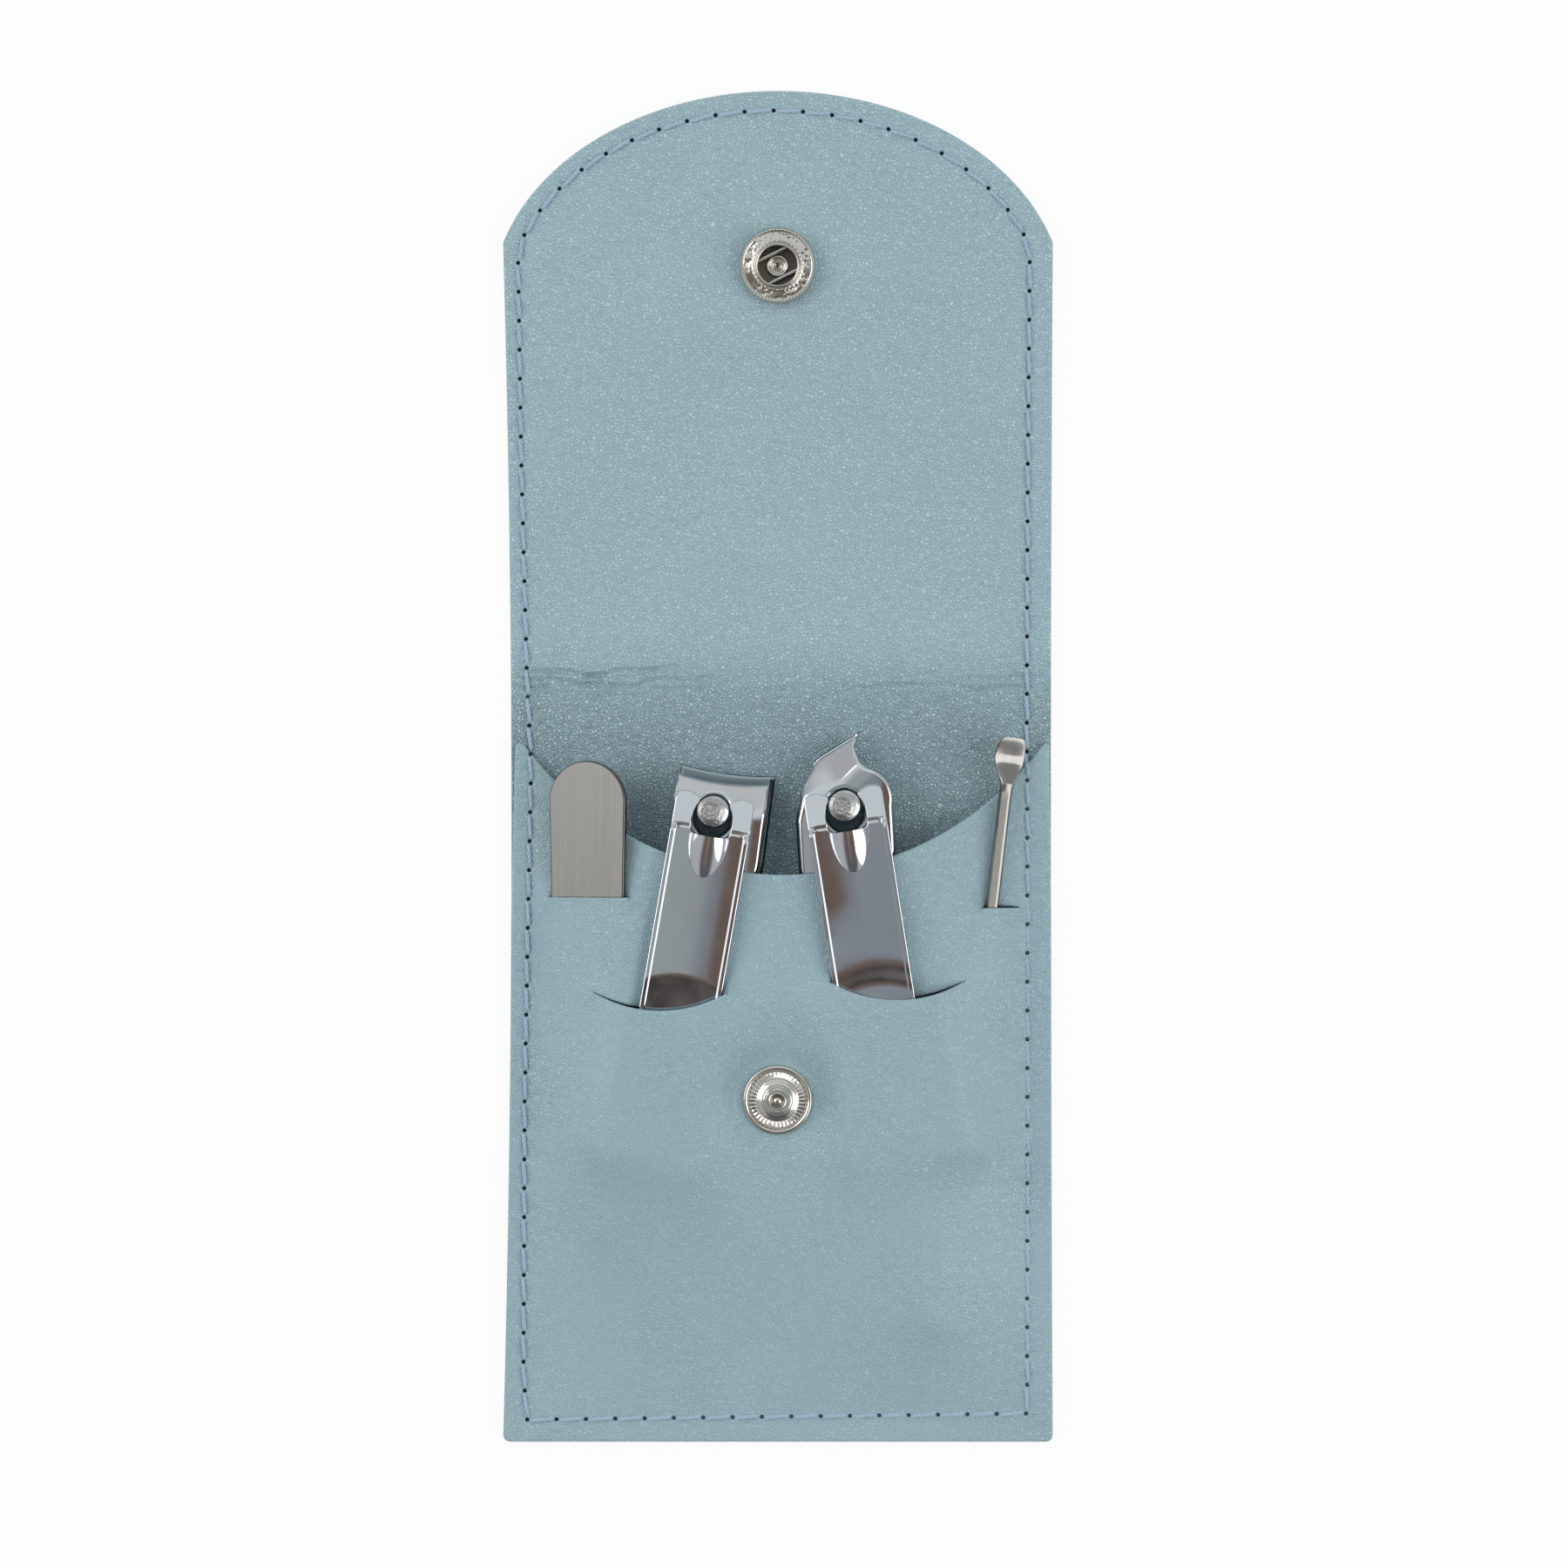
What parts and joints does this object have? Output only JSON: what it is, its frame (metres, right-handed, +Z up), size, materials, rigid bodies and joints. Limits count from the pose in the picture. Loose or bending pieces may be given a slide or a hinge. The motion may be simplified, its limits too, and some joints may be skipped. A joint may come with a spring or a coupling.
{
  "type": "manicure set case",
  "caption": "Flat leather case with a snap flap; its slitted pocket holds a straight and a slant nail clipper with swivelling levers, a nail file and an ear pick.",
  "frame": {"origin": "middle of the open case's underside, on the surface it lies on", "axes": "+X to the right across the case, +Y from the pocket towards the flap's tip, +Z up out of the face that carries the tools"},
  "size_m": [0.0726, 0.1783, 0.0109],
  "materials": {
    "leather_outer": "pearl blue-grey coated leather, fine grain",
    "leather_lining": "pearl blue-grey coated leather, pebble grain",
    "leather_panel": "pearl blue-grey coated leather, fine grain",
    "board": "plain stiffening board",
    "nickel": "polished nickel plate",
    "spring_wire": "drawn spring wire",
    "brushed_steel": "fine lengthwise brushing",
    "clipper_chrome": "bright chrome plate"
  },
  "bodies": {
    "pouch": {"back_cover": "leather_outer", "back_board": "board", "back_lining": "leather_lining", "pocket_panel": "leather_panel", "snap_stud": "nickel", "snap_stud_post": "nickel"},
    "spine": {"spine_cover": "leather_outer", "spine_lining": "leather_lining"},
    "flap": {"flap_cover": "leather_outer", "flap_board": "board", "flap_lining": "leather_lining", "snap_cap": "nickel", "snap_socket": "nickel", "snap_spring": "spring_wire"},
    "nail_file_body": {"nail_file": "brushed_steel"},
    "ear_pick_body": {"ear_pick": "brushed_steel"},
    "straight_clipper": {"straight_lower_leaf": "clipper_chrome", "straight_rivet": "clipper_chrome"},
    "straight_upper": {"straight_upper_leaf": "clipper_chrome"},
    "straight_lever_and_pin": {"straight_lever": "clipper_chrome", "straight_pin": "clipper_chrome"},
    "slant_clipper": {"slant_lower_leaf": "clipper_chrome", "slant_rivet": "clipper_chrome"},
    "slant_upper": {"slant_upper_leaf": "clipper_chrome"},
    "slant_lever_and_pin": {"slant_lever": "clipper_chrome", "slant_pin": "clipper_chrome"}
  },
  "joints": [
    {"name": "fold_lower", "type": "hinge", "parent": "pouch", "child": "spine", "pos_m": [0, 0.0059, 0.0018], "axis": [-1, 0, 0], "range_deg": [-91.51, 0]},
    {"name": "fold_upper", "type": "hinge", "parent": "spine", "child": "flap", "pos_m": [0, 0.0164, 0.0018], "axis": [-1, 0, 0], "range_deg": [-90.49, 0]},
    {"name": "file_slide", "type": "slide", "parent": "pouch", "child": "nail_file_body", "axis": [0, 0.9985, 0.0549], "range_m": [0, 0.046]},
    {"name": "pick_slide", "type": "slide", "parent": "pouch", "child": "ear_pick_body", "axis": [0.1167, 0.9931, 0.0123], "range_m": [0, 0.055]},
    {"name": "straight_slide", "type": "slide", "parent": "pouch", "child": "straight_clipper", "axis": [0.1217, 0.9912, 0.0524], "range_m": [0, 0.0215]},
    {"name": "straight_press", "type": "hinge", "parent": "straight_clipper", "child": "straight_upper", "pos_m": [-0.01393, -0.0475, 0.0032], "axis": [0.9914, -0.1305, 0], "range_deg": [-1.6, 0], "stiffness_Nm_per_rad": 12},
    {"name": "straight_swivel", "type": "hinge", "parent": "straight_clipper", "child": "straight_lever_and_pin", "pos_m": [-0.00845, -0.00586, 0.0021], "axis": [0, 0, 1], "range_deg": [-2.4, 0.5]},
    {"name": "slant_slide", "type": "slide", "parent": "pouch", "child": "slant_clipper", "axis": [0.0174, 0.9985, 0.0528], "range_m": [0, 0.0215]},
    {"name": "slant_press", "type": "hinge", "parent": "slant_clipper", "child": "slant_upper", "pos_m": [0.0113, -0.04706, 0.0032], "axis": [0.9981, 0.061, 0], "range_deg": [-1.35, 0], "stiffness_Nm_per_rad": 12},
    {"name": "slant_swivel", "type": "hinge", "parent": "slant_clipper", "child": "slant_lever_and_pin", "pos_m": [0.00874, -0.00514, 0.0021], "axis": [0, 0, 1], "range_deg": [-0.5, 5]}
  ],
  "couplings": [
    {"joint": "fold_upper", "follows": "fold_lower", "ratio": 0.98866}
  ]
}
